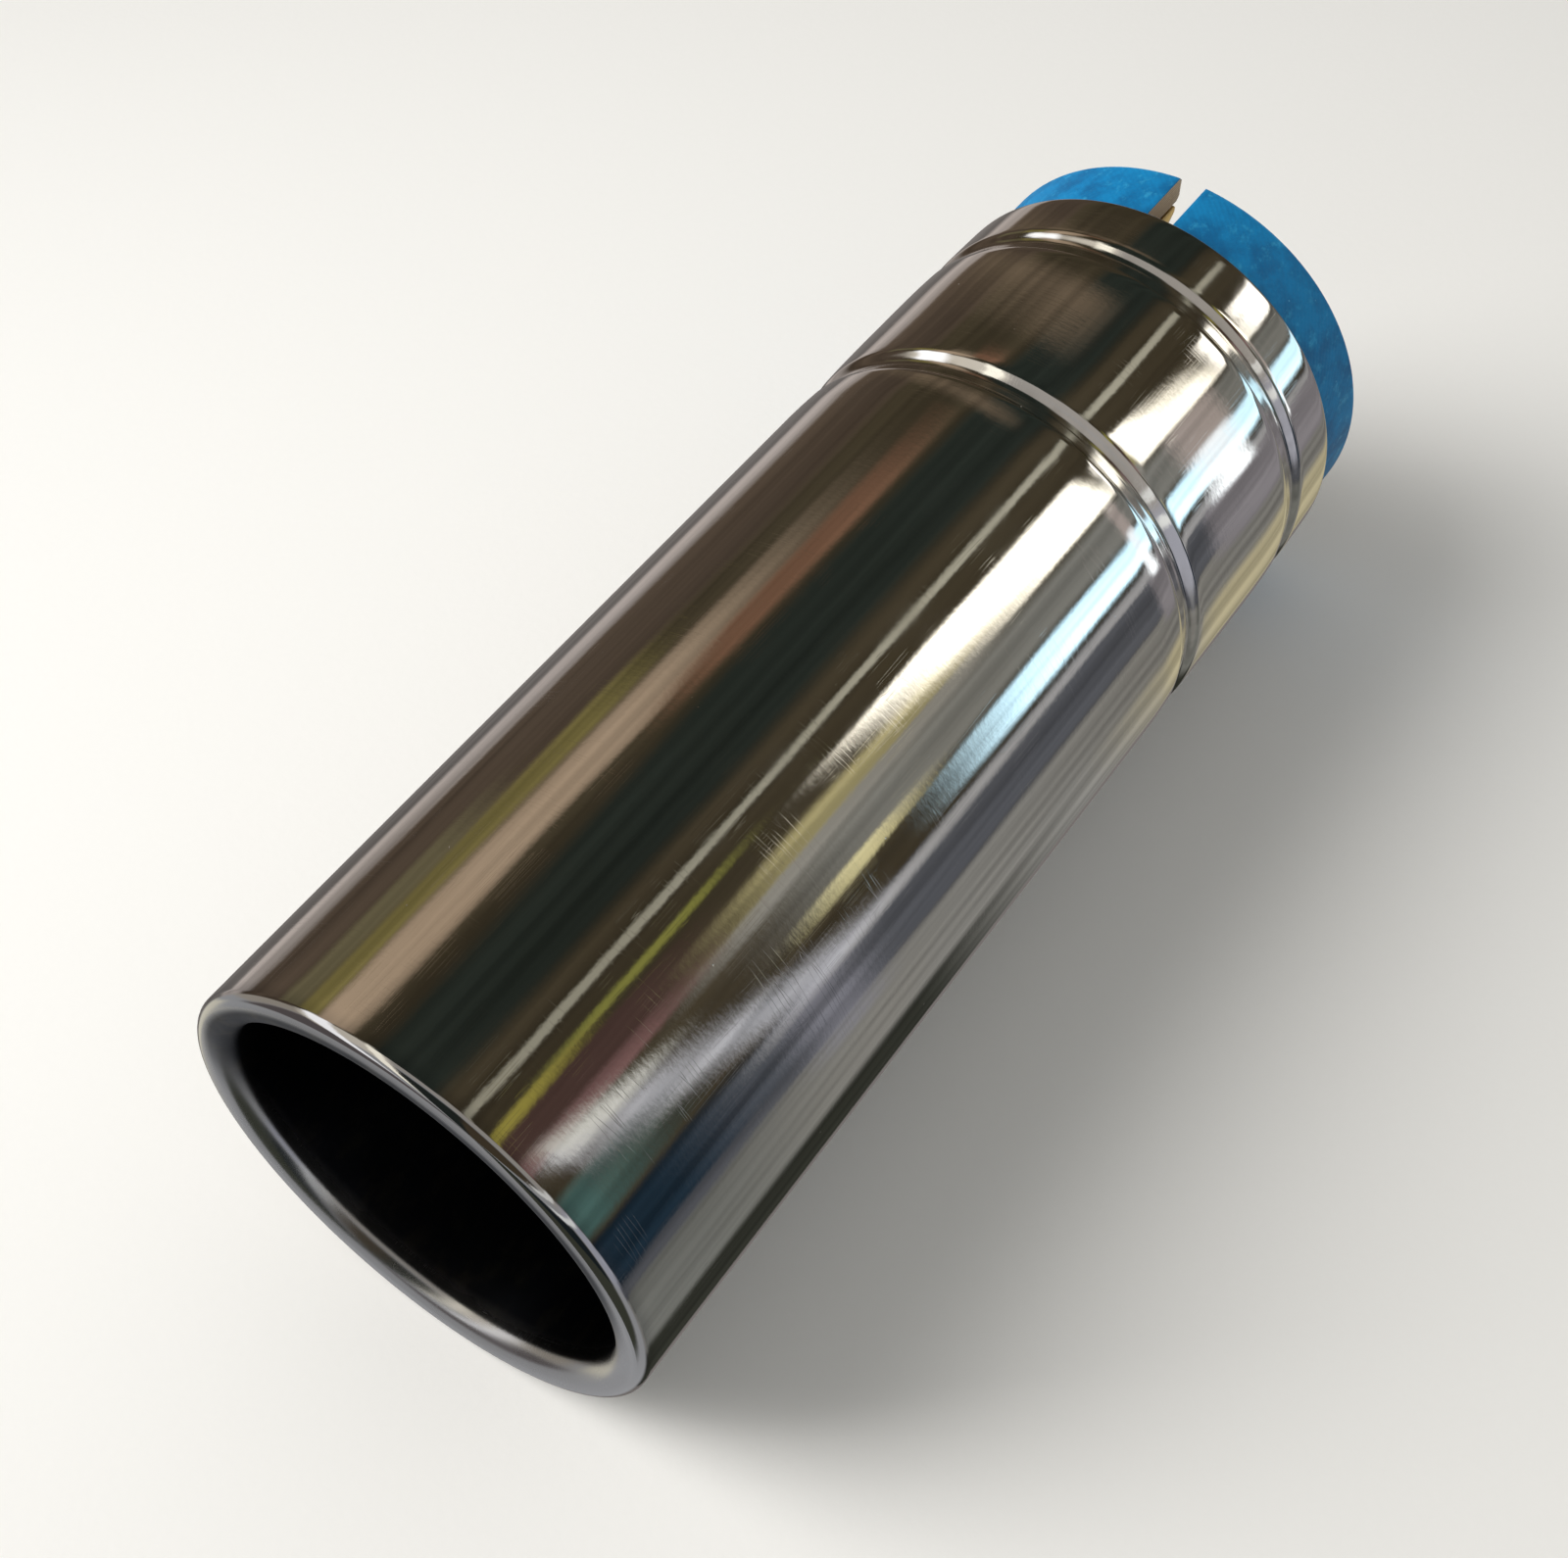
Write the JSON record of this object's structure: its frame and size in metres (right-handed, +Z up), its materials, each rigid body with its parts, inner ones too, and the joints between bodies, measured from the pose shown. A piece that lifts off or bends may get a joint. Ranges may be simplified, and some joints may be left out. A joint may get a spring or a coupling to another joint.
{
  "type": "welding torch gas nozzle",
  "caption": "Push-on gas nozzle for a welding torch: bright plated tube with a rounded outlet lip, rolled grooves and a slotted blue insulating sleeve.",
  "frame": {"origin": "on the tube axis, at the rear end of the neck bore's round wall, where the torch neck enters", "axes": "the nozzle lies on its side: +Z up, +Y along the tube axis and out of the rear, the gas outlet facing -Y"},
  "size_m": [0.026, 0.0695, 0.026],
  "materials": {
    "bright_plating": "mirror-polished nickel-chrome plating",
    "blue_laminate": "matt blue lacquer on glass-fibre laminate, beige where it is cut",
    "bare_laminate": "bare glass-fibre laminate",
    "brass": "turned brass",
    "spring_wire": "drawn spring wire"
  },
  "bodies": {
    "root": {"nozzle_shell": "bright_plating", "insulating_sleeve": "blue_laminate", "insulating_washer": "bare_laminate", "clamping_sleeve": "brass", "spring_ring": "spring_wire"}
  },
  "joints": []
}
